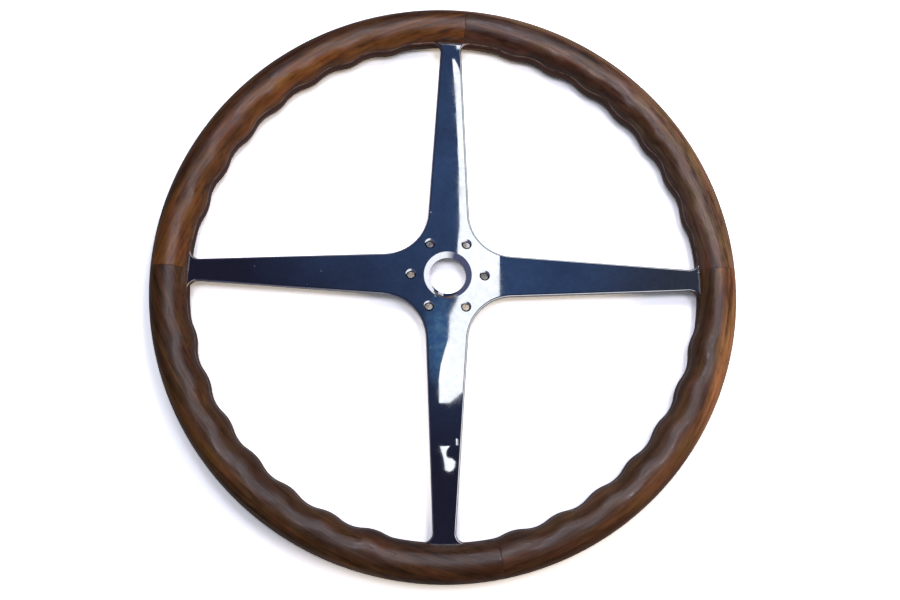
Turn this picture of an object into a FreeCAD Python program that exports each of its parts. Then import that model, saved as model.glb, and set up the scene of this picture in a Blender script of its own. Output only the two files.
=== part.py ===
import FreeCAD, Part
import math
import os

from FreeCAD import Vector

# Four-spoke boat steering wheel, lying on its back with the front face up.
# The origin is the centre of the bore on the back face of the hub.
# +Z is the wheel's axis towards the helmsman and +Y runs up the top spoke.

# Rim: two wooden halves on the two faces of the ring, and meeting outside it
outer_diameter = 400.0
rim_width = 24.0
lip_width = 7.0
ring_clearance = 0.2

# Finger grips on the inner side of the rim, between the spokes
spoke_count = 4
grip_pitch_angle = 10.0
grips_per_quarter = 7
grip_height = 2.2
grip_radius = 30.0

# Spider: hub, spokes and the ring inside the rim are one plate
plate_thickness = 5.0
plate_edge_radius = 1.5
spoke_hub_width = 29.0
spoke_hub_station = 40.0
spoke_rim_width = 14.6
spoke_rim_station = 175.0
hub_corner_radius = 31.0
ring_corner_radius = 6.0

# Bore and bolt holes in the hub
bore_diameter = 25.4
bore_chamfer_width = 3.8
bore_chamfer_depth = 3.0
bolt_circle_diameter = 50.8
bolt_hole_diameter = 5.0
bolt_hole_chamfer = 1.1
bolt_hole_count = 6

# Butt joints between the rim's lengths, anticlockwise from the right-hand spoke
front_joint_angles = [2.0, 87.0, 180.0, 281.0]
back_joint_turn = 45.0
joint_gap = 0.1

# Countersunk screws, from the back through the ring into the front half
screw_count = 16
first_screw_angle = 6.5
screw_diameter = 4.0
screw_head_diameter = 8.0
screw_length = 22.0
screw_tip_length = 4.0
screw_sink = 0.9
screw_clearance = 0.1
slot_width = 1.0
slot_depth = 0.9
slot_turn = 37.0

front_names = ["front_rim_upper_right", "front_rim_upper_left",
               "front_rim_lower_left", "front_rim_lower_right"]
back_names = ["back_rim_top", "back_rim_left", "back_rim_bottom", "back_rim_right"]

# Worked out from the sizes above
outer_radius = outer_diameter / 2
rim_round = rim_width / 2
crest_radius = outer_radius - rim_round
plain_inner_radius = outer_radius - rim_width
grip_inner_radius = plain_inner_radius - grip_height
ring_outer_radius = outer_radius - lip_width
ring_middle_radius = (plain_inner_radius + ring_outer_radius) / 2
mid_height = plate_thickness / 2
crest_height = plate_thickness + rim_round
back_height = -rim_round
quarter_angle = 360.0 / spoke_count
first_grip_angle = (quarter_angle - grips_per_quarter * grip_pitch_angle) / 2
half_pitch = grip_pitch_angle / 2
screw_angles = [first_screw_angle + number * 360.0 / screw_count for number in range(screw_count)]
tiny = 1e-4

centre = Vector(0, 0, 0)
up = Vector(0, 0, 1)


def polar(radius, angle, height=0.0):
    turn = math.radians(angle)
    return Vector(radius * math.cos(turn), radius * math.sin(turn), height)


def turned(shape, angle):
    copy = shape.copy()
    copy.rotate(centre, up, angle)
    return copy


def line(start, end):
    return Part.LineSegment(start, end).toShape()


def plan_arc(middle, radius, start_angle, end_angle):
    start = middle + polar(radius, start_angle)
    half_way = middle + polar(radius, (start_angle + end_angle) / 2)
    end = middle + polar(radius, end_angle)
    return Part.Arc(start, half_way, end).toShape()


def face_of(edges):
    return Part.Face(Part.Wire(edges))


def polygon_face(points):
    return Part.Face(Part.makePolygon(points + points[:1]))


# Radius of the notch between two grips. In plan the notch and the grip beside it
# are arcs that touch, and the notch's floor touches the plain inner circle.
def fitting_notch_radius():
    step = math.cos(math.radians(half_pitch))
    outer, inner = plain_inner_radius, grip_inner_radius
    axis = inner + grip_radius
    above = outer ** 2 + inner ** 2 + 2 * inner * grip_radius - 2 * step * outer * axis
    below = 2 * (outer - step * inner + (1 - step) * grip_radius)
    return above / below


notch_radius = fitting_notch_radius()
grip_axis = polar(grip_inner_radius + grip_radius, 0)
notch_axis = polar(plain_inner_radius - notch_radius, half_pitch)
between_axes = grip_axis - notch_axis
touch_angle = math.degrees(math.atan2(between_axes.y, between_axes.x))


# Quarter-round section over the plate, as a face beside a vertical axis at x = 0.
# A hollow section starts at near_x and swells outwards, a full one swells to near_x.
def hollow_section(near_x, far_x):
    base, top = plate_thickness, crest_height
    round_x = near_x + rim_round
    slant = rim_round * math.sqrt(0.5)
    edges = [Part.Arc(Vector(near_x, 0, base), Vector(round_x - slant, 0, base + slant),
                      Vector(round_x, 0, top)).toShape()]
    if far_x - round_x > tiny:
        edges.append(line(Vector(round_x, 0, top), Vector(far_x, 0, top)))
    edges.append(line(Vector(far_x, 0, top), Vector(far_x, 0, base)))
    edges.append(line(Vector(far_x, 0, base), Vector(near_x, 0, base)))
    return face_of(edges)


def full_section(near_x):
    base, top = plate_thickness, crest_height
    round_x = near_x - rim_round
    slant = rim_round * math.sqrt(0.5)
    return face_of([Part.Arc(Vector(near_x, 0, base), Vector(round_x + slant, 0, base + slant),
                             Vector(round_x, 0, top)).toShape(),
                    line(Vector(round_x, 0, top), Vector(0, 0, top)),
                    line(Vector(0, 0, top), Vector(0, 0, base)),
                    line(Vector(0, 0, base), Vector(near_x, 0, base))])


def swept(section, axis_point, start_angle, sweep):
    placed = turned(section, start_angle)
    placed.translate(axis_point)
    return placed.revolve(axis_point, up, sweep)


# One grip, from the middle of a notch to the middle of the next one
def grip_solid():
    reach = notch_radius + 2 * rim_round
    bump = swept(full_section(grip_radius), grip_axis, 180 + touch_angle, -2 * touch_angle)
    notch = swept(hollow_section(notch_radius, reach), notch_axis,
                  touch_angle, half_pitch - touch_angle)
    other_notch = notch.mirror(centre, Vector(0, 1, 0))
    inside_crest = Part.makeCylinder(crest_radius, rim_round, Vector(0, 0, plate_thickness))
    return bump.multiFuse([notch, other_notch]).common(inside_crest)


# Outer part of a half rim, with the lip that meets the other half outside the ring
def outer_rim():
    base, top = plate_thickness, crest_height
    lip_start = ring_outer_radius + ring_clearance
    slant = rim_round * math.sqrt(0.5)
    corners = [Vector(outer_radius, 0, base), Vector(outer_radius, 0, mid_height),
               Vector(lip_start, 0, mid_height), Vector(lip_start, 0, base),
               Vector(crest_radius, 0, base), Vector(crest_radius, 0, top)]
    edges = [Part.Arc(Vector(crest_radius, 0, top), Vector(crest_radius + slant, 0, base + slant),
                      Vector(outer_radius, 0, base)).toShape()]
    edges += [line(start, end) for start, end in zip(corners, corners[1:])]
    return face_of(edges).revolve(centre, up, 360)


def front_rim():
    plain_section = hollow_section(plain_inner_radius, crest_radius)
    grip = grip_solid()
    pieces = []
    for spoke in range(spoke_count):
        spoke_angle = spoke * quarter_angle
        pieces.append(swept(plain_section, centre, spoke_angle - first_grip_angle,
                            2 * first_grip_angle))
        for number in range(grips_per_quarter):
            middle = spoke_angle + first_grip_angle + (number + 0.5) * grip_pitch_angle
            pieces.append(turned(grip, middle))
    return outer_rim().multiFuse(pieces).removeSplitter()


# Cuts a half rim into lengths at its butt joints
def rim_lengths(half, joint_angles):
    gap_angle = math.degrees(joint_gap / crest_radius)
    block = polygon_face([Vector(plain_inner_radius - rim_width, 0, back_height - rim_width),
                          Vector(outer_radius + rim_width, 0, back_height - rim_width),
                          Vector(outer_radius + rim_width, 0, crest_height + rim_width),
                          Vector(plain_inner_radius - rim_width, 0, crest_height + rim_width)])
    lengths = []
    for start, end in zip(joint_angles, joint_angles[1:] + [joint_angles[0] + 360]):
        sweep = end - start - gap_angle
        lengths.append(half.common(swept(block, centre, start + gap_angle / 2, sweep)))
    return lengths


def spoke_half_width(station):
    slope = (spoke_rim_width - spoke_hub_width) / (spoke_rim_station - spoke_hub_station)
    return (spoke_hub_width + slope * (station - spoke_hub_station)) / 2


# Strip of plate that follows the grips over one quarter of the ring
def grip_strip():
    edges = []
    for number in range(grips_per_quarter):
        middle = first_grip_angle + (number + 0.5) * grip_pitch_angle
        first_axis = polar(notch_axis.Length, middle - half_pitch)
        last_axis = polar(notch_axis.Length, middle + half_pitch)
        edges.append(plan_arc(first_axis, notch_radius, middle - half_pitch, middle - touch_angle))
        edges.append(plan_arc(polar(grip_axis.Length, middle), grip_radius,
                              middle + 180 - touch_angle, middle + 180 + touch_angle))
        edges.append(plan_arc(last_axis, notch_radius, middle + touch_angle, middle + half_pitch))
    last_angle = quarter_angle - first_grip_angle
    edges.append(line(polar(plain_inner_radius, last_angle), polar(ring_middle_radius, last_angle)))
    edges.append(plan_arc(centre, ring_middle_radius, last_angle, first_grip_angle))
    edges.append(line(polar(ring_middle_radius, first_grip_angle),
                      polar(plain_inner_radius, first_grip_angle)))
    return face_of(edges).extrude(Vector(0, 0, plate_thickness))


def plan_distance(edge):
    point = edge.Vertexes[0].Point
    return math.hypot(point.x, point.y)


# Corners of the plate in plan: upright edges whose distance from the axis is in a range
def corner_edges(plate, nearest, farthest):
    found = []
    for edge in plate.Edges:
        box = edge.BoundBox
        upright = box.XLength < tiny and box.YLength < tiny
        if upright and nearest < plan_distance(edge) < farthest:
            found.append(edge)
    return found


# Edges of the front and back face round the spokes, the hub and the inside of the ring
def window_edges(plate):
    return [edge for edge in plate.Edges
            if edge.BoundBox.ZLength < tiny and plan_distance(edge) < ring_middle_radius]


def spoke_plate():
    spoke = polygon_face([Vector(0, -spoke_half_width(0), 0),
                          Vector(ring_middle_radius, -spoke_half_width(ring_middle_radius), 0),
                          Vector(ring_middle_radius, spoke_half_width(ring_middle_radius), 0),
                          Vector(0, spoke_half_width(0), 0)])
    spoke = spoke.extrude(Vector(0, 0, plate_thickness))
    ring = Part.makeCylinder(ring_outer_radius, plate_thickness)
    ring = ring.cut(Part.makeCylinder(plain_inner_radius, plate_thickness))
    spokes = [turned(spoke, number * quarter_angle) for number in range(spoke_count)]
    plate = ring.multiFuse(spokes).removeSplitter()
    plate = plate.makeFillet(hub_corner_radius, corner_edges(plate, 0, spoke_hub_station))
    ring_corners = corner_edges(plate, plain_inner_radius - tiny, plain_inner_radius + tiny)
    plate = plate.makeFillet(ring_corner_radius, ring_corners)
    return plate.makeFillet(plate_edge_radius, window_edges(plate))


# Hole through the plate with a chamfer at the front face
def plate_drill(radius, chamfer_width, chamfer_depth):
    hole = Part.makeCylinder(radius, plate_thickness)
    chamfer = Part.makeCone(radius, radius + chamfer_width, chamfer_depth,
                            Vector(0, 0, plate_thickness - chamfer_depth))
    return hole.fuse(chamfer)


def hub_drills():
    bolt_drill = plate_drill(bolt_hole_diameter / 2, bolt_hole_chamfer, bolt_hole_chamfer)
    bolt_drill.translate(polar(bolt_circle_diameter / 2, 0))
    drills = [plate_drill(bore_diameter / 2, bore_chamfer_width, bore_chamfer_depth)]
    for number in range(bolt_hole_count):
        drills.append(turned(bolt_drill, number * 360.0 / bolt_hole_count))
    return drills


def screw_point(angle):
    return polar(crest_radius, angle, back_height + screw_sink)


# Screw shape from the head's face upwards, grown all round by a clearance
def screw_body(growth):
    head, shank = screw_head_diameter / 2 + growth, screw_diameter / 2 + growth
    cone_end = head - shank
    length = screw_length + growth
    outline = polygon_face([Vector(0, 0, 0), Vector(head, 0, 0), Vector(shank, 0, cone_end),
                            Vector(shank, 0, length - screw_tip_length), Vector(0, 0, length)])
    return outline.revolve(centre, up, 360)


def screw(number):
    slot = Part.makeBox(screw_head_diameter * 2, slot_width, slot_depth,
                        Vector(-screw_head_diameter, -slot_width / 2, 0))
    solid = screw_body(0).cut(turned(slot, number * slot_turn))
    solid.translate(screw_point(screw_angles[number]))
    return solid


def screw_cutter(angle):
    head = screw_head_diameter / 2 + screw_clearance
    sink = Part.makeCylinder(head, 2 * screw_sink, Vector(0, 0, -2 * screw_sink))
    cutter = screw_body(screw_clearance).fuse(sink)
    cutter.translate(screw_point(angle))
    return cutter


def spider(screw_holes):
    strips = [turned(grip_strip(), number * quarter_angle) for number in range(spoke_count)]
    plate = spoke_plate().multiFuse(strips)
    return plate.cut(hub_drills() + screw_holes).removeSplitter()


def build():
    screw_holes = [screw_cutter(angle) for angle in screw_angles]
    front = front_rim()
    back = front.mirror(Vector(0, 0, mid_height), up)
    back_joint_angles = [angle + back_joint_turn for angle in front_joint_angles]
    nodes = {"spider": spider(screw_holes)}
    for names, half, angles in ((front_names, front, front_joint_angles),
                                (back_names, back, back_joint_angles)):
        for name, length in zip(names, rim_lengths(half, angles)):
            nodes[name] = length.cut(screw_holes)
    nodes["rim_screws"] = Part.makeCompound([screw(number) for number in range(screw_count)])
    return nodes


os.makedirs("parts", exist_ok=True)
for name, shape in build().items():
    shape.exportStep("parts/" + name + ".step")
    print(name, len(shape.Solids), "solids", len(shape.Faces), "faces", round(shape.Volume), "mm3",
          "valid" if shape.isValid() else "NOT VALID")
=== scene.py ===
import math

import bmesh
import bpy
from mathutils import Euler, Matrix, Vector


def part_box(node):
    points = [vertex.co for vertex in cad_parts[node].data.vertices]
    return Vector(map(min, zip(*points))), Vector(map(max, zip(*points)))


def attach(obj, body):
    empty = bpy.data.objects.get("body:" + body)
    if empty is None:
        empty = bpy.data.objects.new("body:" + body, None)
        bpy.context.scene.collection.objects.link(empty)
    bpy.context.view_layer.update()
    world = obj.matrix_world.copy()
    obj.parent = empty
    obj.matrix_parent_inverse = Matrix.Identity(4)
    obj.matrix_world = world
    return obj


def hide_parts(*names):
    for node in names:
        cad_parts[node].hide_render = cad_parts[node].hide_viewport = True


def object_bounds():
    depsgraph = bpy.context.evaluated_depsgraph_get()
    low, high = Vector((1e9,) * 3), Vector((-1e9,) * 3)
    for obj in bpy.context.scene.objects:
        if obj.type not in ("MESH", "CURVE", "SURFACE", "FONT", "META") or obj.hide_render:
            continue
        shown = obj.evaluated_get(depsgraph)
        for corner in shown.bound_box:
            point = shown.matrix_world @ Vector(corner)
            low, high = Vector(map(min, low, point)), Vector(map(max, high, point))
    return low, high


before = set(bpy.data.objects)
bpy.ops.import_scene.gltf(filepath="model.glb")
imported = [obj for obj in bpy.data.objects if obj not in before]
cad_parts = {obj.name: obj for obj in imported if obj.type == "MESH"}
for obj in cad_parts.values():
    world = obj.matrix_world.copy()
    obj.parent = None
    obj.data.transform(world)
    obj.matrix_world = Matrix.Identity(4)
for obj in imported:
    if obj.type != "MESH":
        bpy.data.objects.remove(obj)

cadLow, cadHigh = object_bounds()
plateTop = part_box("spider")[1][2]
print("frame loaded")


# Small helpers for meshes

def pieceFrom(bm, name, material):
    mesh = bpy.data.meshes.new(name)
    bm.to_mesh(mesh)
    bm.free()
    mesh.materials.append(material)
    piece = bpy.data.objects.new(name, mesh)
    bpy.context.collection.objects.link(piece)
    return piece


def finishPiece(bm, name, material, sharpAngle=40):
    bmesh.ops.recalc_face_normals(bm, faces=bm.faces)
    piece = pieceFrom(bm, name, material)
    piece.data.shade_smooth()
    piece.data.set_sharp_from_angle(angle=math.radians(sharpAngle))
    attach(piece, "root")
    return piece


def stagePiece(bm, name, material):
    piece = pieceFrom(bm, name, material)
    return piece


# Small helpers for nodes. A value may be a number, a vector, a colour or another node's socket

def newMaterial(name):
    material = bpy.data.materials.new(name)
    material.use_nodes = True
    tree = material.node_tree
    tree.nodes.clear()
    output = tree.nodes.new("ShaderNodeOutputMaterial")
    return material, tree, output


def feed(tree, socket, value):
    if isinstance(value, bpy.types.NodeSocket):
        tree.links.new(value, socket)
    elif socket.type == "RGBA":
        socket.default_value = (*value, 1)
    else:
        socket.default_value = value


def addNode(tree, kind, settings=None, values=None):
    node = tree.nodes.new(kind)
    for name, value in (settings or {}).items():
        setattr(node, name, value)
    for name, value in (values or {}).items():
        feed(tree, node.inputs[name], value)
    return node


def mathNode(tree, operation, first, second=0.0, third=0.0, clamp=False):
    node = addNode(tree, "ShaderNodeMath", {"operation": operation, "use_clamp": clamp})
    for socket, value in zip(node.inputs, (first, second, third)):
        feed(tree, socket, value)
    return node.outputs[0]


def vectorNode(tree, operation, first, second=(0, 0, 0)):
    node = addNode(tree, "ShaderNodeVectorMath", {"operation": operation})
    feed(tree, node.inputs[0], first)
    feed(tree, node.inputs[1], second)
    return node.outputs["Value" if operation in ("LENGTH", "DOT_PRODUCT") else "Vector"]


def splitVector(tree, vector):
    return addNode(tree, "ShaderNodeSeparateXYZ", values={"Vector": vector}).outputs


def rangeNode(tree, value, low, high, newLow=0.0, newHigh=1.0):
    node = addNode(tree, "ShaderNodeMapRange", {"clamp": True}, {
        "Value": value, "From Min": low, "From Max": high, "To Min": newLow, "To Max": newHigh})
    return node.outputs["Result"]


def mixColor(tree, factor, first, second, blend="MIX"):
    node = addNode(tree, "ShaderNodeMix", {"data_type": "RGBA", "blend_type": blend})
    feed(tree, node.inputs[0], factor)
    feed(tree, node.inputs[6], first)      # 6 and 7 are the colours, and so is output 2
    feed(tree, node.inputs[7], second)
    return node.outputs[2]


def noiseNode(tree, vector, scale, detail=3.0, roughness=0.6):
    node = addNode(tree, "ShaderNodeTexNoise", values={
        "Vector": vector, "Scale": scale, "Detail": detail, "Roughness": roughness})
    return node.outputs["Fac"]


# A layer is a noise, with the stretch of its space and the range picked out of it where it has them
def noiseLayer(tree, vector, layer):
    if "stretch" in layer:
        vector = vectorNode(tree, "MULTIPLY", vector, layer["stretch"])
    noise = noiseNode(tree, vector, layer["scale"], layer["detail"], layer["roughness"])
    return rangeNode(tree, noise, *layer["range"]) if "range" in layer else noise


def bumpNode(tree, height, strength, distance):
    node = addNode(tree, "ShaderNodeBump", values={
        "Height": height, "Strength": strength, "Distance": distance})
    return node.outputs["Normal"]


def objectPlace(tree):
    return addNode(tree, "ShaderNodeTexCoord").outputs["Object"]


def principledSurface(tree, output, values):
    shader = addNode(tree, "ShaderNodeBsdfPrincipled", values=values)
    tree.links.new(shader.outputs["BSDF"], output.inputs["Surface"])


def glowSurface(tree, output, color, strength=1.0):
    glow = addNode(tree, "ShaderNodeEmission", values={"Color": color, "Strength": strength})
    tree.links.new(glow.outputs["Emission"], output.inputs["Surface"])


# Camera: above the wheel and a little below its middle, as in the photograph

camera = {
    "place": (-0.01681, -0.10571, 0.45020),
    "turn": (0.194496, -0.043917, 0.012453),
    "lens": 26.66,
    "sensor": 36.0,
    "clipStart": 0.01,
    "photoWidth": 900,
    "photoHeight": 600,
}


def addCamera(settings):
    data = bpy.data.cameras.new("photoCamera")
    data.lens = settings["lens"]
    data.sensor_width = settings["sensor"]
    data.clip_start = settings["clipStart"]
    eye = bpy.data.objects.new("photoCamera", data)
    eye.location = settings["place"]
    eye.rotation_euler = settings["turn"]
    bpy.context.collection.objects.link(eye)
    bpy.context.scene.camera = eye


addCamera(camera)
bpy.context.scene.view_settings.view_transform = "Standard"
print("camera placed")


# Walnut: planks with rings, fibres and pores along their own gently bent grain, and on each a golden side
# that is partly golden grain and partly painted warm light and painted sheen.
# In the group lengths are in millimetres, and a plank's x runs along its grain

walnut = {
    "layers": {
        "wander": {"stretch": (0.10, 1.0, 1.0), "scale": 0.035, "detail": 2.0, "roughness": 0.5},
        "fibres": {"stretch": (0.014, 1.1, 1.1), "scale": 1.0, "detail": 3.0, "roughness": 0.6},
        "streaks": {"stretch": (0.006, 0.36, 0.36), "scale": 1.0, "detail": 2.0, "roughness": 0.55},
        "pores": {"stretch": (0.22, 2.6, 2.6), "scale": 1.0, "detail": 1.0, "roughness": 0.5,
                  "range": (0.66, 0.76)},
        "tone": {"stretch": (0.007, 0.09, 0.09), "scale": 1.0, "detail": 2.0, "roughness": 0.5},
        "patches": {"stretch": (0.009, 0.11, 0.11), "scale": 1.0, "detail": 3.0, "roughness": 0.6},
        "mottle": {"stretch": (0.045, 0.10, 0.10), "scale": 1.0, "detail": 3.0, "roughness": 0.6},
        "fleck": {"stretch": (0.10, 0.28, 0.28), "scale": 1.0, "detail": 3.0, "roughness": 0.6},
    },
    # Ranges: from, to, and what the two ends give where that isn't 0 and 1
    "ringStart": (0.2, 0.85),
    "ringEnd": (1.0, 0.88),
    # The gold edge, wander and base place a golden side across each plank: partly golden grain, partly
    # painted warm light and painted sheen
    "goldAndPaintedLightEdge": (12.0, 20.0),
    "goldTone": (0.44, 0.64, 0.0, 0.2),
    "hueEdge": (0.40, 0.60),
    "fibreDark": (0.66, 0.36, 0.0, 0.16),
    "fleckDark": (0.62, 0.38, 0.0, 0.20),
    "streakDark": (0.62, 0.38, 0.0, 0.25),
    "patchDark": (0.60, 0.38, 0.0, 0.40),
    "patchRough": (0.38, 0.62, 0.38, 0.24),
    "fleckRough": (0.36, 0.64, -0.07, 0.09),
    "ringWander": 16.0,
    "ringDark": 0.18,
    "goldAndPaintedLightWander": 30.0,
    "goldAndPaintedLightSideShare": 0.8,
    "greenish": (0.99, 1.05, 0.88),
    "reddish": (1.05, 0.92, 1.06),
    "poreColor": (0.006, 0.003, 0.002),
    "poreDark": 0.4,
    "poreRough": 0.15,
    "poreHeight": -0.6,
    "streakRough": 0.16,
    "fibreHeight": 0.35,
    "specular": 0.38,
    "bumpStrength": 0.35,
    "bumpHeight": 0.00025,
}

# What differs from plank to plank: the socket and its kind
plankInputs = {
    "dark": ("Dark", "NodeSocketColor"),
    "mid": ("Mid", "NodeSocketColor"),
    "goldAndPaintedLight": ("Gold And Painted Light", "NodeSocketColor"),
    "heart": ("Heart", "NodeSocketVector"),
    "bend": ("Bend", "NodeSocketFloat"),
    "ringWidth": ("Ring Width", "NodeSocketFloat"),
    "goldAndPaintedLightShare": ("Gold And Painted Light Share", "NodeSocketFloat"),
    "goldAndPaintedLightAxis": ("Gold And Painted Light Axis", "NodeSocketVector"),
    "goldAndPaintedLightPlace": ("Gold And Painted Light Place", "NodeSocketFloat"),
    "lines": ("Lines", "NodeSocketFloat"),
}

plankOutputs = {"Color": "NodeSocketColor", "Roughness": "NodeSocketFloat", "Height": "NodeSocketFloat"}


def plankGrainGroup(look):
    group = bpy.data.node_groups.new("plankGrain", "ShaderNodeTree")
    face = group.interface
    face.new_socket("Vector", in_out="INPUT", socket_type="NodeSocketVector")
    for name, kind in plankInputs.values():
        face.new_socket(name, in_out="INPUT", socket_type=kind)
    for name, kind in plankOutputs.items():
        face.new_socket(name, in_out="OUTPUT", socket_type=kind)
    plank = group.nodes.new("NodeGroupInput").outputs
    end = group.nodes.new("NodeGroupOutput")

    plain = splitVector(group, plank["Vector"])
    drop = mathNode(group, "MULTIPLY", mathNode(group, "POWER", plain["X"], 2.0), plank["Bend"])
    curved = addNode(group, "ShaderNodeCombineXYZ", values={
        "X": plain["X"], "Y": mathNode(group, "SUBTRACT", plain["Y"], drop), "Z": plain["Z"]}).outputs[0]
    grain = vectorNode(group, "ADD", curved, plank["Heart"])
    noise = {name: noiseLayer(group, grain, layer) for name, layer in look["layers"].items()}

    def picked(name, use):
        return rangeNode(group, noise[name], *look[use])

    radius = vectorNode(group, "LENGTH", vectorNode(group, "MULTIPLY", grain, (0, 1, 1)))
    bent = mathNode(group, "MULTIPLY_ADD", noise["wander"], look["ringWander"], radius)
    ring = mathNode(group, "FRACT", mathNode(group, "DIVIDE", bent, plank["Ring Width"]))
    ringStart = rangeNode(group, ring, *look["ringStart"])
    lateWood = mathNode(group, "MULTIPLY", ringStart, rangeNode(group, ring, *look["ringEnd"]))

    # The golden side across the section is partly golden grain and partly painted light: painted warm light
    # and painted sheen on the side of the section where that light falls
    across = vectorNode(group, "DOT_PRODUCT", curved, plank["Gold And Painted Light Axis"])
    across = mathNode(group, "MULTIPLY_ADD", noise["tone"], look["goldAndPaintedLightWander"], across)
    across = mathNode(group, "SUBTRACT", across, plank["Gold And Painted Light Place"])
    goldAndPaintedLightSide = rangeNode(group, across, *look["goldAndPaintedLightEdge"])
    goldAndPaintedLight = mathNode(group, "MULTIPLY_ADD", goldAndPaintedLightSide, look["goldAndPaintedLightSideShare"], picked("tone", "goldTone"))
    goldAndPaintedLight = mathNode(group, "MULTIPLY", goldAndPaintedLight, plank["Gold And Painted Light Share"])
    light = mixColor(group, goldAndPaintedLight, plank["Mid"], plank["Gold And Painted Light"])
    hue = mixColor(group, picked("mottle", "hueEdge"), look["greenish"], look["reddish"])
    light = mixColor(group, 1.0, light, hue, "MULTIPLY")

    lines = mathNode(group, "MULTIPLY_ADD", lateWood, look["ringDark"], picked("fibres", "fibreDark"))
    darkness = mathNode(group, "MULTIPLY_ADD", lines, plank["Lines"], picked("fleck", "fleckDark"))
    darkness = mathNode(group, "ADD", darkness, picked("streaks", "streakDark"))
    darkness = mathNode(group, "ADD", darkness, picked("patches", "patchDark"), clamp=True)
    stained = mixColor(group, darkness, light, plank["Dark"])
    poreShare = mathNode(group, "MULTIPLY", noise["pores"], look["poreDark"])
    feed(group, end.inputs["Color"], mixColor(group, poreShare, stained, look["poreColor"]))

    rough = picked("patches", "patchRough")
    rough = mathNode(group, "MULTIPLY_ADD", noise["streaks"], look["streakRough"], rough)
    rough = mathNode(group, "ADD", rough, picked("fleck", "fleckRough"))
    rough = mathNode(group, "MULTIPLY_ADD", noise["pores"], look["poreRough"], rough)
    feed(group, end.inputs["Roughness"], rough)
    relief = mathNode(group, "MULTIPLY", noise["fibres"], look["fibreHeight"])
    relief = mathNode(group, "MULTIPLY_ADD", noise["pores"], look["poreHeight"], relief)
    feed(group, end.inputs["Height"], relief)
    return group


plankGrain = plankGrainGroup(walnut)


# The middle is the angle, seen from the hub, at which the plank's grain runs along the rim
def woodMaterial(name, wood, middle):
    material, tree, output = newMaterial(name)
    mapping = addNode(tree, "ShaderNodeMapping", values={
        "Vector": objectPlace(tree),
        "Rotation": (wood["tilt"], 0, -math.radians(middle + 90)),
        "Scale": (1000, 1000, 1000)})      # metres to millimetres
    grain = addNode(tree, "ShaderNodeGroup", {"node_tree": plankGrain})
    feed(tree, grain.inputs["Vector"], mapping.outputs["Vector"])
    for key, (socket, kind) in plankInputs.items():
        feed(tree, grain.inputs[socket], wood[key])
    principledSurface(tree, output, {
        "Base Color": grain.outputs["Color"],
        "Roughness": grain.outputs["Roughness"],
        "Specular IOR Level": walnut["specular"],
        "Normal": bumpNode(tree, grain.outputs["Height"], walnut["bumpStrength"], walnut["bumpHeight"])})
    return material


# Front half of the rim: four lengths with finger grips on the inner side

frontRim = {
    "width": 0.024,
    "seamHeight": 0.0025,
    "ringPocketRadius": 0.1932,
    "gripHeight": 0.0022,
    "gripRadius": 0.030,
    "gripPitch": 10.0,
    "plainHalfAngle": 10.0,
    "spokePitch": 90.0,
    "roundSegments": 14,
    "edgeSegments": 2,
    "stepAngle": 0.5,
    "jointGap": 0.00005,
    "jointRound": 0.0001,
    "edgeRound": 0.0003,
    "weld": 1e-5,
    "fineWeld": 1e-6,
}

# Angles in degrees from the right-hand spoke, anticlockwise
# Each length's gold colour and the side it lies on are partly golden grain and partly painted warm light; on
# the upper right length they are mostly painted sheen on the outer side
frontWood = {
    "front_rim_upper_right": {
        "start": 2, "end": 87, "tilt": 0.1, "heart": (310, -18, 31), "bend": 0.0028,
        "ringWidth": 2.6, "lines": 0.8, "goldAndPaintedLightShare": 0.8, "goldAndPaintedLightAxis": (-0.03, -1, 0), "goldAndPaintedLightPlace": 180.5,
        "dark": (0.019, 0.007, 0.004), "mid": (0.085, 0.032, 0.014), "goldAndPaintedLight": (0.370, 0.215, 0.120)},
    "front_rim_upper_left": {
        "start": 87, "end": 180, "tilt": -0.1, "heart": (-120, -42, 26), "bend": 0.0021,
        "ringWidth": 3.1, "lines": 0.9, "goldAndPaintedLightShare": 0.8, "goldAndPaintedLightAxis": (0.045, 1, -0.3), "goldAndPaintedLightPlace": -185,
        "dark": (0.024, 0.009, 0.005), "mid": (0.105, 0.040, 0.015), "goldAndPaintedLight": (0.228, 0.084, 0.016)},
    "front_rim_lower_left": {
        "start": 180, "end": 281, "tilt": 0.1, "heart": (45, 24, 34), "bend": 0.0018,
        "ringWidth": 2.3, "lines": 1.1, "goldAndPaintedLightShare": 0.7, "goldAndPaintedLightAxis": (-0.05, -1, 0), "goldAndPaintedLightPlace": 185,
        "dark": (0.020, 0.008, 0.004), "mid": (0.082, 0.033, 0.013), "goldAndPaintedLight": (0.230, 0.105, 0.026)},
    "front_rim_lower_right": {
        "start": 281, "end": 362, "tilt": -0.1, "heart": (-260, -30, 22), "bend": 0.0028,
        "ringWidth": 2.8, "lines": 0.55, "goldAndPaintedLightShare": 0.95, "goldAndPaintedLightAxis": (0.12, -1, 0), "goldAndPaintedLightPlace": 196,
        "dark": (0.022, 0.008, 0.004), "mid": (0.100, 0.043, 0.017), "goldAndPaintedLight": (0.400, 0.190, 0.075)},
}


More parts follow.
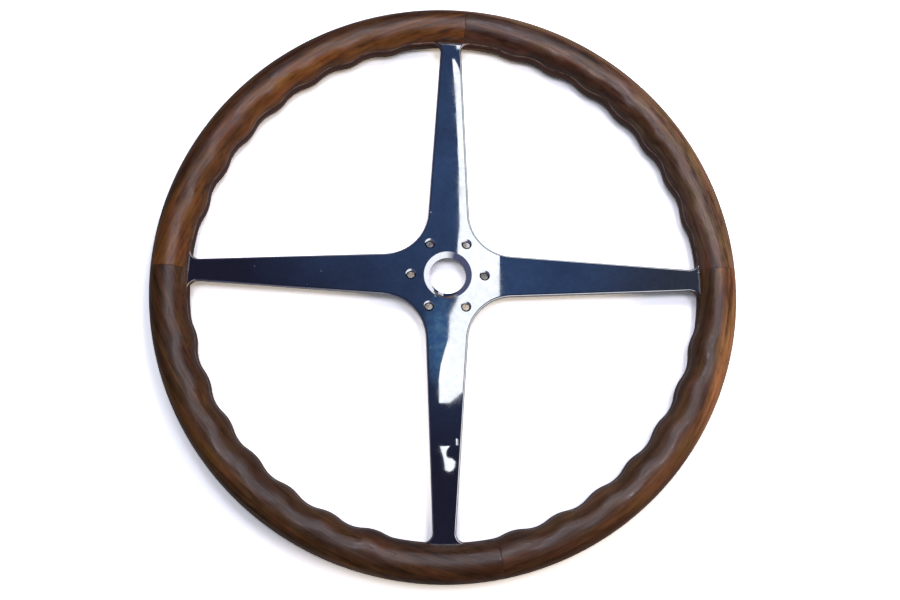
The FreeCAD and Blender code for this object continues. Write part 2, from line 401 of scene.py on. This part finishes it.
# The grips' crests and the notches between them are tangent arcs. A larger depth lies further out
def gripOutline(rim):
    plain = cadHigh.x - rim["width"]
    half = math.radians(rim["gripPitch"] / 2)
    inner = plain - rim["gripHeight"]
    axis = inner + rim["gripRadius"]
    above = plain ** 2 + inner ** 2 + 2 * inner * rim["gripRadius"] - 2 * math.cos(half) * plain * axis
    below = 2 * (plain - math.cos(half) * inner + (1 - math.cos(half)) * rim["gripRadius"])
    notch = above / below
    notchAxis = Vector((plain - notch, 0))
    gripAxis = Vector((axis * math.cos(half), axis * math.sin(half)))
    toGrip = (gripAxis - notchAxis).normalized()

    def radiusAt(angle, depth):
        fromSpoke = angle % rim["spokePitch"]
        if min(fromSpoke, rim["spokePitch"] - fromSpoke) <= rim["plainHalfAngle"]:
            return plain + depth
        fromNotch = (fromSpoke - rim["plainHalfAngle"] + rim["gripPitch"] / 2) % rim["gripPitch"]
        fromNotch = math.radians(abs(fromNotch - rim["gripPitch"] / 2))
        touch = notchAxis + toGrip * (notch + depth)
        if fromNotch < math.atan2(touch.y, touch.x):
            side = notchAxis.x * math.sin(fromNotch)
            return notchAxis.x * math.cos(fromNotch) + math.sqrt((notch + depth) ** 2 - side ** 2)
        side = axis * math.sin(half - fromNotch)
        return axis * math.cos(half - fromNotch) - math.sqrt((rim["gripRadius"] - depth) ** 2 - side ** 2)

    return radiusAt


def roundOff(bm, geom, offset, segments, affect):
    bmesh.ops.bevel(bm, geom=geom, offset=offset, offset_type="OFFSET", segments=segments,
                    profile=0.5, affect=affect, material=-1)


# The front half's section: half round above, with a step over the ring's edge below
def rimSection(rim):
    outer = cadHigh.x
    inner = outer - rim["width"]
    crest = plateTop + rim["width"] / 2
    bm = bmesh.new()
    corners = [(inner, plateTop), (inner, crest), (outer, crest), (outer, rim["seamHeight"]),
               (rim["ringPocketRadius"], rim["seamHeight"]), (rim["ringPocketRadius"], plateTop)]
    section = bm.faces.new([bm.verts.new((x, 0, z)) for x, z in corners])
    tops = [vert for vert in section.verts if vert.co.z > crest - rim["fineWeld"]]
    roundOff(bm, tops, rim["width"] / 2, rim["roundSegments"], "VERTICES")
    bmesh.ops.remove_doubles(bm, verts=bm.verts, dist=rim["weld"])
    low = [vert for vert in bm.verts
           if (vert.co - Vector((inner, 0, plateTop))).length < rim["weld"]
           or (vert.co - Vector((outer, 0, rim["seamHeight"]))).length < rim["weld"]]
    roundOff(bm, low, rim["edgeRound"], rim["edgeSegments"], "VERTICES")
    return bm


def rimLength(name, wood, rim, radiusAt):
    outer = cadHigh.x
    inner = outer - rim["width"]
    ridge = outer - rim["width"] / 2
    bm = rimSection(rim)

    gap = math.degrees(rim["jointGap"] / ridge)
    sweep = wood["end"] - wood["start"] - gap
    turn = math.radians(wood["start"] + gap / 2)
    bmesh.ops.rotate(bm, verts=bm.verts, cent=(0, 0, 0), matrix=Matrix.Rotation(turn, 3, "Z"))
    bmesh.ops.spin(bm, geom=bm.faces[:], cent=(0, 0, 0), axis=(0, 0, 1), angle=math.radians(sweep),
                   steps=round(sweep / rim["stepAngle"]))
    bmesh.ops.remove_doubles(bm, verts=bm.verts, dist=rim["fineWeld"])

    # The inner half follows the grips
    for vert in bm.verts:
        radius = math.hypot(vert.co.x, vert.co.y)
        if radius < ridge - rim["weld"]:
            angle = math.degrees(math.atan2(vert.co.y, vert.co.x))
            scale = radiusAt(angle, max(radius - inner, 0)) / max(radius, inner)
            vert.co.x *= scale
            vert.co.y *= scale

    # Only the two end faces have more than four corners
    ends = [face for face in bm.faces if len(face.verts) > 4]
    rounded = [edge for edge in bm.edges
               if sum(face in ends for face in edge.link_faces) == 1]
    roundOff(bm, rounded, rim["jointRound"], rim["edgeSegments"], "EDGES")
    material = woodMaterial(name.replace("front_rim", "walnut"), wood, (wood["start"] + wood["end"]) / 2)
    piece = finishPiece(bm, name.replace("_", "") + "Wood", material)
    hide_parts(name)


radiusAt = gripOutline(frontRim)
for name, wood in frontWood.items():
    rimLength(name, wood, frontRim, radiusAt)
print("front rim built")


# Back half of the rim: the CAD lengths, each plank with its own grain

# As at the front, each plank's gold colour on one side of its section is partly golden grain and partly
# painted light
backWood = {
    "back_rim_top": {
        "middle": 89.5, "tilt": 0.1, "heart": (150, -25, 30), "bend": 0.0026,
        "ringWidth": 2.7, "lines": 1.0, "goldAndPaintedLightShare": 0.6, "goldAndPaintedLightAxis": (0, 1, 0), "goldAndPaintedLightPlace": -188,
        "dark": (0.020, 0.008, 0.004), "mid": (0.085, 0.034, 0.013), "goldAndPaintedLight": (0.180, 0.071, 0.014)},
    "back_rim_left": {
        "middle": 178.5, "tilt": -0.1, "heart": (-200, 30, 28), "bend": 0.0026,
        "ringWidth": 2.4, "lines": 1.0, "goldAndPaintedLightShare": 0.6, "goldAndPaintedLightAxis": (0, -1, 0), "goldAndPaintedLightPlace": 190,
        "dark": (0.022, 0.009, 0.004), "mid": (0.092, 0.036, 0.014), "goldAndPaintedLight": (0.192, 0.076, 0.016)},
    "back_rim_bottom": {
        "middle": 275.5, "tilt": 0.1, "heart": (80, -36, 32), "bend": 0.0026,
        "ringWidth": 3.0, "lines": 1.0, "goldAndPaintedLightShare": 0.5, "goldAndPaintedLightAxis": (0.04, 1, 0), "goldAndPaintedLightPlace": -187,
        "dark": (0.019, 0.007, 0.004), "mid": (0.080, 0.031, 0.013), "goldAndPaintedLight": (0.168, 0.065, 0.014)},
    "back_rim_right": {
        "middle": 6.5, "tilt": -0.1, "heart": (-90, 22, 35), "bend": 0.0026,
        "ringWidth": 2.5, "lines": 0.8, "goldAndPaintedLightShare": 0.7, "goldAndPaintedLightAxis": (-0.04, -1, 0), "goldAndPaintedLightPlace": 188,
        "dark": (0.021, 0.008, 0.004), "mid": (0.090, 0.035, 0.013), "goldAndPaintedLight": (0.198, 0.077, 0.016)},
}

for name, wood in backWood.items():
    material = woodMaterial(name.replace("back_rim", "backWalnut"), wood, wood["middle"])
    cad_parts[name].material_slots[0].material = material
print("back rim finished")


# Spider: chrome with fine scratches, specks and light dust; the ring's inner wall is coloured brown as
# painted shade and a painted reflection of the wood, lighter along its front corner as partly wear and
# partly a painted highlight

chrome = {
    "clean": (0.62, 0.64, 0.67),
    "smudged": (0.50, 0.52, 0.56),
    "dusty": (0.85, 0.88, 0.92),
    # The brown wall colour is painted shade and a painted reflection of the wood on the ring's inner wall,
    # between the wood halves
    "paintedShadeBrown": (0.110, 0.050, 0.034),
    # The worn edge colour along the wall's front corner is partly wear and partly a painted highlight
    "wornAndHighlitEdge": (0.46, 0.31, 0.23),
    "layers": {
        "smudges": {"scale": 22.0, "detail": 4.0, "roughness": 0.6, "range": (0.42, 0.68)},
        "haze": {"scale": 120.0, "detail": 3.0, "roughness": 0.6, "range": (0.45, 0.70)},
        "edgeWearAndHighlight": {"scale": 120.0, "detail": 3.0, "roughness": 0.6, "range": (0.35, 0.62)},
        "specks": {"scale": 300.0, "detail": 3.0, "roughness": 0.6, "range": (0.35, 0.65, 0.0, 0.22)},
        "scratches": {"stretch": (900, 60, 60), "scale": 1.0, "detail": 2.0, "roughness": 0.5,
                      "range": (0.66, 0.76)},
        "waves": {"scale": 28.0, "detail": 1.0, "roughness": 0.4},
    },
    "dustScale": 70.0,
    "dustRange": (0.050, 0.030),
    "wallStart": 0.1715,
    "wallPassage": 0.0008,
    "wallFacing": (0.93, 0.7),
    "frontCorner": (0.0032, 0.0043),
    "smudgeShare": 0.35,
    "dustShare": 0.8,
    "roughness": 0.012,
    "smudgeRoughness": 0.03,
    "hazeRoughness": 0.015,
    "dustRoughness": 0.5,
    "wallRoughness": 0.35,
    "scratchHeight": -0.02,
    "bumpStrength": 0.25,
    "bumpHeight": 0.0001,
}


def chromeMaterial(look):
    material, tree, output = newMaterial("polishedChrome")
    place = objectPlace(tree)
    layers = {name: noiseLayer(tree, place, layer) for name, layer in look["layers"].items()}
    cells = addNode(tree, "ShaderNodeTexVoronoi", {"feature": "F1"}, {
        "Vector": place, "Scale": look["dustScale"], "Randomness": 1.0})
    dust = rangeNode(tree, cells.outputs["Distance"], *look["dustRange"])

    fromAxis = vectorNode(tree, "LENGTH", vectorNode(tree, "MULTIPLY", place, (1, 1, 0)))
    outOnRing = rangeNode(tree, fromAxis, look["wallStart"], look["wallStart"] + look["wallPassage"])
    normal = addNode(tree, "ShaderNodeNewGeometry").outputs["Normal"]
    levelness = mathNode(tree, "ABSOLUTE", splitVector(tree, normal)["Z"])
    # Painted shade and painted reflection: the ring's inner wall, between the wood halves, is coloured brown
    wall = mathNode(tree, "MULTIPLY", outOnRing, rangeNode(tree, levelness, *look["wallFacing"]))
    # Along the wall's front corner a lighter colour broken by noise: partly wear, partly a painted highlight
    corner = rangeNode(tree, splitVector(tree, place)["Z"], *look["frontCorner"])
    corner = mathNode(tree, "MULTIPLY", corner, layers["edgeWearAndHighlight"])

    smudges = mathNode(tree, "MULTIPLY", layers["smudges"], look["smudgeShare"])
    metal = mixColor(tree, smudges, look["clean"], look["smudged"])
    metal = mixColor(tree, layers["specks"], metal, look["smudged"], "MULTIPLY")
    metal = mixColor(tree, mathNode(tree, "MULTIPLY", dust, look["dustShare"]), metal, look["dusty"])
    paintedWallShadeAndHighlight = mixColor(tree, corner, look["paintedShadeBrown"], look["wornAndHighlitEdge"])
    rough = mathNode(tree, "MULTIPLY_ADD", layers["smudges"], look["smudgeRoughness"], look["roughness"])
    rough = mathNode(tree, "MULTIPLY_ADD", layers["haze"], look["hazeRoughness"], rough)
    rough = mathNode(tree, "MULTIPLY_ADD", dust, look["dustRoughness"], rough)
    rough = mathNode(tree, "MULTIPLY_ADD", wall, look["wallRoughness"], rough)
    relief = mathNode(tree, "MULTIPLY_ADD", layers["scratches"], look["scratchHeight"], layers["waves"])
    principledSurface(tree, output, {
        "Metallic": 1.0,
        "Base Color": mixColor(tree, wall, metal, paintedWallShadeAndHighlight),
        "Roughness": rough,
        "Normal": bumpNode(tree, relief, look["bumpStrength"], look["bumpHeight"])})
    return material


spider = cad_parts["spider"]
spider.material_slots[0].material = chromeMaterial(chrome)


# Screws: dull brass, tarnished in spots

brass = {
    "clean": (0.46, 0.33, 0.14),
    "tarnished": (0.20, 0.14, 0.07),
    "tarnish": {"scale": 400.0, "detail": 4.0, "roughness": 0.6, "range": (0.4, 0.65)},
    "roughness": 0.25,
    "tarnishRoughness": 0.25,
}


def brassMaterial(look):
    material, tree, output = newMaterial("dullBrass")
    tarnish = noiseLayer(tree, objectPlace(tree), look["tarnish"])
    principledSurface(tree, output, {
        "Metallic": 1.0,
        "Base Color": mixColor(tree, tarnish, look["clean"], look["tarnished"]),
        "Roughness": mathNode(tree, "MULTIPLY_ADD", tarnish, look["tarnishRoughness"], look["roughness"])})
    return material


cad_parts["rim_screws"].material_slots[0].material = brassMaterial(brass)
print("metal finished")


# Floor: white to the camera, also beyond the lamps' reach, grey in the metal,
# and it throws little light back under the rim

floor = {
    "size": 6.0,
    "bounce": 0.33,
    "seen": 1.85,
    "mirrored": 0.32,
    "glow": 0.85,
    "glowStart": 0.32,
    "glowFull": 0.80,
}


def floorMaterial(look):
    material, tree, output = newMaterial("paleFloor")
    rays = addNode(tree, "ShaderNodeLightPath").outputs
    mirrored = mathNode(tree, "ADD", rays["Is Glossy Ray"], rays["Is Transmission Ray"], clamp=True)
    level = mathNode(tree, "MULTIPLY_ADD", mirrored, look["mirrored"] - look["bounce"], look["bounce"])
    level = mathNode(tree, "MULTIPLY_ADD", rays["Is Camera Ray"], look["seen"] - look["bounce"], level)
    diffuse = addNode(tree, "ShaderNodeBsdfDiffuse", values={"Color": level})
    away = vectorNode(tree, "LENGTH", objectPlace(tree))
    away = rangeNode(tree, away, look["glowStart"], look["glowFull"], 0.0, look["glow"])
    glow = addNode(tree, "ShaderNodeEmission", values={
        "Strength": mathNode(tree, "MULTIPLY", away, rays["Is Camera Ray"])})
    both = addNode(tree, "ShaderNodeAddShader")
    feed(tree, both.inputs[0], diffuse.outputs[0])
    feed(tree, both.inputs[1], glow.outputs[0])
    feed(tree, output.inputs["Surface"], both.outputs[0])
    return material


# A level sheet, cut off at a left or right end
def levelSheet(size, height, leftEnd=-math.inf, rightEnd=math.inf):
    bm = bmesh.new()
    bmesh.ops.create_grid(bm, x_segments=1, y_segments=1, size=size / 2)
    bmesh.ops.translate(bm, verts=bm.verts, vec=(0, 0, height))
    for vert in bm.verts:
        vert.co.x = min(max(vert.co.x, leftEnd), rightEnd)
    return bm


stagePiece(levelSheet(floor["size"], cadLow.z), "floor", floorMaterial(floor))


# Cards: the dark and bright surroundings that the chrome mirrors

# Where a card at this height lies, so that the plate mirrors it at a place on the plate
def mirroredPlace(x, y, height):
    reach = height / (camera["place"][2] - plateTop)
    return (x + (x - camera["place"][0]) * reach, y + (y - camera["place"][1]) * reach, plateTop + height)


# The place on the plate that the camera sees at a pixel of the photograph
def placeOnPlate(pixel):
    focal = camera["lens"] / camera["sensor"] * camera["photoWidth"]
    right = (pixel[0] - camera["photoWidth"] / 2) / focal
    up = (camera["photoHeight"] / 2 - pixel[1]) / focal
    ray = Vector((right, up, -1))
    ray.rotate(Euler(camera["turn"]))
    eye = Vector(camera["place"])
    return eye + ray * ((plateTop - eye.z) / ray.z)


# The plate alone mirrors the cards
plateOnly = bpy.data.collections.new("plateOnly")
plateOnly.objects.link(spider)


def onlyMirrored(piece):
    piece.light_linking.receiver_collection = plateOnly
    piece.visible_camera = False
    piece.visible_diffuse = False
    piece.visible_shadow = False
    piece.visible_transmission = False


def glowMaterial(name, color, strength=1.0):
    material, tree, output = newMaterial(name)
    glowSurface(tree, output, color, strength)
    return material


# Navy above the wheel, brighter over its right, clouded, blue near the hub and grey at the far right.
# Radii, reaches and grey limits are sizes on the plate, and cloud and blotch sizes are on the card
navyCard = {
    "height": 1.05,
    "size": 4.0,
    "rightEnd": 0.75,
    "beyond": (0.92, 0.93, 0.96),
    "far": (0.021, 0.021, 0.043),
    "near": (0.052, 0.096, 0.215),
    "brightPlace": (0.045, 0.065),
    "brightRadius": 0.055,
    "fadeRadius": 0.195,
    "cloudSize": 0.14,
    "cloudRange": (0.35, 0.65, 0.75, 1.25),
    "grey": (0.048, 0.056, 0.086),
    "greyStart": 0.085,
    "greyFull": 0.155,
    "blue": (0.060, 0.142, 0.330),
    "blueLight": (0.115, 0.250, 0.400),
    "bluePixel": (441, 335),
    "blueReach": (0.013, 0.034),
    "blueWander": 1.2,
    "blueEdge": (1.6, 1.0),
    "blotchSize": 0.013,
    "blotchRange": (0.42, 0.68),
}


def navyMaterial(card):
    material, tree, output = newMaterial("navyCard")
    place = objectPlace(tree)
    reach = card["height"] / (camera["place"][2] - plateTop) + 1
    brightMiddle = mirroredPlace(*card["brightPlace"], card["height"])
    away = vectorNode(tree, "LENGTH", vectorNode(tree, "SUBTRACT", place, brightMiddle))
    near = rangeNode(tree, away, card["fadeRadius"] * reach, card["brightRadius"] * reach)
    clouds = noiseNode(tree, place, 1 / card["cloudSize"])
    near = mathNode(tree, "MULTIPLY", near, rangeNode(tree, clouds, *card["cloudRange"]))
    navy = mixColor(tree, near, card["far"], card["near"])

    greyStart = mirroredPlace(card["greyStart"], 0, card["height"])[0]
    greyFull = mirroredPlace(card["greyFull"], 0, card["height"])[0]
    grey = rangeNode(tree, splitVector(tree, place)["X"], greyStart, greyFull)
    navy = mixColor(tree, grey, navy, card["grey"])

    bluePlace = placeOnPlate(card["bluePixel"])
    blueMiddle = mirroredPlace(bluePlace.x, bluePlace.y, card["height"])
    blueSize = (card["blueReach"][0] * reach, card["blueReach"][1] * reach, 1)
    across = vectorNode(tree, "DIVIDE", vectorNode(tree, "SUBTRACT", place, blueMiddle), blueSize)
    blue = mathNode(tree, "MULTIPLY_ADD", clouds, card["blueWander"], vectorNode(tree, "LENGTH", across))
    blue = rangeNode(tree, blue, *card["blueEdge"])
    blotches = rangeNode(tree, noiseNode(tree, place, 1 / card["blotchSize"]), *card["blotchRange"])
    blueColor = mixColor(tree, blotches, card["blue"], card["blueLight"])
    glowSurface(tree, output, mixColor(tree, blue, navy, blueColor))
    return material


cardHeight = plateTop + navyCard["height"]
navySheet = levelSheet(navyCard["size"], cardHeight, rightEnd=navyCard["rightEnd"])
onlyMirrored(stagePiece(navySheet, "navyCard", navyMaterial(navyCard)))
beyondSheet = levelSheet(navyCard["size"], cardHeight, leftEnd=navyCard["rightEnd"])
onlyMirrored(stagePiece(beyondSheet, "beyondCard", glowMaterial("beyondCard", navyCard["beyond"])))


# A wall round the wheel, dark on the left and bright on the right, with a soft passage between them
sideWall = {
    "radius": 1.5,
    "steps": 48,
    "dark": (0.13, 0.14, 0.25),
    "darkUpTo": -0.50,
    "bright": (1.5, 1.5, 1.55),
    "brightFrom": 0.30,
}


def wallMaterial(wall):
    material, tree, output = newMaterial("sideWall")
    bright = rangeNode(tree, splitVector(tree, objectPlace(tree))["X"], wall["darkUpTo"], wall["brightFrom"])
    glowSurface(tree, output, mixColor(tree, bright, wall["dark"], wall["bright"]))
    return material


bm = bmesh.new()
foot = bm.verts.new((sideWall["radius"], 0, cadLow.z))
head = bm.verts.new((sideWall["radius"], 0, cardHeight))
bm.edges.new((foot, head))
bmesh.ops.spin(bm, geom=bm.edges[:], cent=(0, 0, 0), axis=(0, 0, 1), angle=math.tau,
               steps=sideWall["steps"], use_merge=True)
onlyMirrored(stagePiece(bm, "sideWall", wallMaterial(sideWall)))


# Outlines are where the plate mirrors the bright strip, in the photograph's pixels
brightStrip = {
    "height": 0.60,
    "glow": 1.75,
    "color": (0.97, 0.98, 1.0),
    "outlines": {
        "longStrip": [(452.3, 59.5), (453.2, 70), (454.8, 85), (455.5, 95), (457, 130), (459, 170),
                      (459.5, 228), (457.5, 247), (458, 298), (449.5, 316), (448.5, 337), (440.5, 364),
                      (438.6, 380), (439, 403), (450, 403), (462, 393), (499.5, 385), (499.5, 140),
                      (461, 75), (458, 66), (454.5, 59.5)],
        "lowerBit": [(440.0, 446.1), (450.0, 445.6), (447.3, 449.2), (446.1, 453), (446.6, 456.6),
                     (448.6, 458.4), (451.8, 458.4), (455.2, 461.6), (454.7, 466.4), (452.8, 470),
                     (449, 472), (445.2, 470.6), (444.5, 463), (443.4, 457), (441.7, 451.3)],
        "cornerBit": [(456, 41), (463, 41), (463, 49), (457, 49)],
        "smallBit": [(456, 438.6), (457.6, 438.6), (457.6, 445), (456.4, 445)],
    },
}

stripMaterial = glowMaterial("brightStrip", brightStrip["color"], brightStrip["glow"])
for name, outline in brightStrip["outlines"].items():
    bm = bmesh.new()
    corners = [placeOnPlate(pixel) for pixel in outline]
    places = [mirroredPlace(corner.x, corner.y, brightStrip["height"]) for corner in corners]
    bm.faces.new([bm.verts.new(place) for place in places])
    onlyMirrored(stagePiece(bm, name, stripMaterial))


# World: a soft fill for the wheel, and white wherever it is seen itself

surround = {
    "fill": 0.16,
    "tint": (0.92, 0.94, 1.0),
    "white": (1, 1, 1),
}


def worldLight(look):
    world = bpy.data.worlds.new("studio")
    bpy.context.scene.world = world
    world.use_nodes = True
    tree = world.node_tree
    tree.nodes.clear()
    output = tree.nodes.new("ShaderNodeOutputWorld")
    fill = addNode(tree, "ShaderNodeBackground", values={"Color": look["tint"], "Strength": look["fill"]})
    white = addNode(tree, "ShaderNodeBackground", values={"Color": look["white"], "Strength": 1.0})
    rays = addNode(tree, "ShaderNodeLightPath").outputs
    seen = mathNode(tree, "ADD", rays["Is Camera Ray"], rays["Is Glossy Ray"])
    seen = mathNode(tree, "ADD", seen, rays["Is Transmission Ray"], clamp=True)
    mix = addNode(tree, "ShaderNodeMixShader")
    feed(tree, mix.inputs[0], seen)
    feed(tree, mix.inputs[1], fill.outputs[0])
    feed(tree, mix.inputs[2], white.outputs[0])
    feed(tree, output.inputs["Surface"], mix.outputs[0])


worldLight(surround)


# Lamps: one warm lamp from the side, four soft lamps over the gaps between the spokes that give
# the wood its sheen, and a small one for the outer side of the rim's top

warmLamp = {
    "place": (1.1, -0.40, 0.42),
    "size": 0.5,
    "power": 9.0,
    "color": (1.0, 0.80, 0.56),
    "mirrored": False,
}

sheenLamps = {
    "height": 0.60,
    "across": 0.14,
    "size": 0.17,
    "rightPower": 0.98,
    "leftPower": 0.85,
    "color": (0.86, 0.87, 1.0),
    "mirrored": True,
}

topLamp = {
    "place": (0.03, 0.33, 0.35),
    "size": 0.12,
    "power": 0.30,
    "color": (0.86, 0.87, 1.0),
    "mirrored": True,
}

# The plate is lit by the cards alone
plateLeftOut = bpy.data.collections.new("plateLeftOut")
plateLeftOut.objects.link(spider)
plateLeftOut.collection_objects[0].light_linking.link_state = "EXCLUDE"


# Every lamp is aimed at the middle of the wheel
def addLamp(name, settings):
    data = bpy.data.lights.new(name, "AREA")
    data.shape = "DISK"
    data.size = settings["size"]
    data.energy = settings["power"]
    data.color = settings["color"]
    lamp = bpy.data.objects.new(name, data)
    lamp.location = settings["place"]
    lamp.rotation_euler = (-Vector(settings["place"])).to_track_quat("-Z", "Y").to_euler()
    lamp.visible_camera = False
    lamp.visible_glossy = settings["mirrored"]
    lamp.light_linking.receiver_collection = plateLeftOut
    bpy.context.collection.objects.link(lamp)


def addSheenLamps(settings):
    x, y, z = mirroredPlace(0, 0, settings["height"])
    for number, (alongX, alongY) in enumerate(((1, 1), (-1, 1), (-1, -1), (1, -1)), start=1):
        place = (x + alongX * settings["across"], y + alongY * settings["across"], z)
        power = settings["rightPower"] if alongX > 0 else settings["leftPower"]
        addLamp(f"sheen{number}", dict(settings, place=place, power=power))


addLamp("warmSide", warmLamp)
addSheenLamps(sheenLamps)
addLamp("sheenTop", topLamp)
print("stage lit")
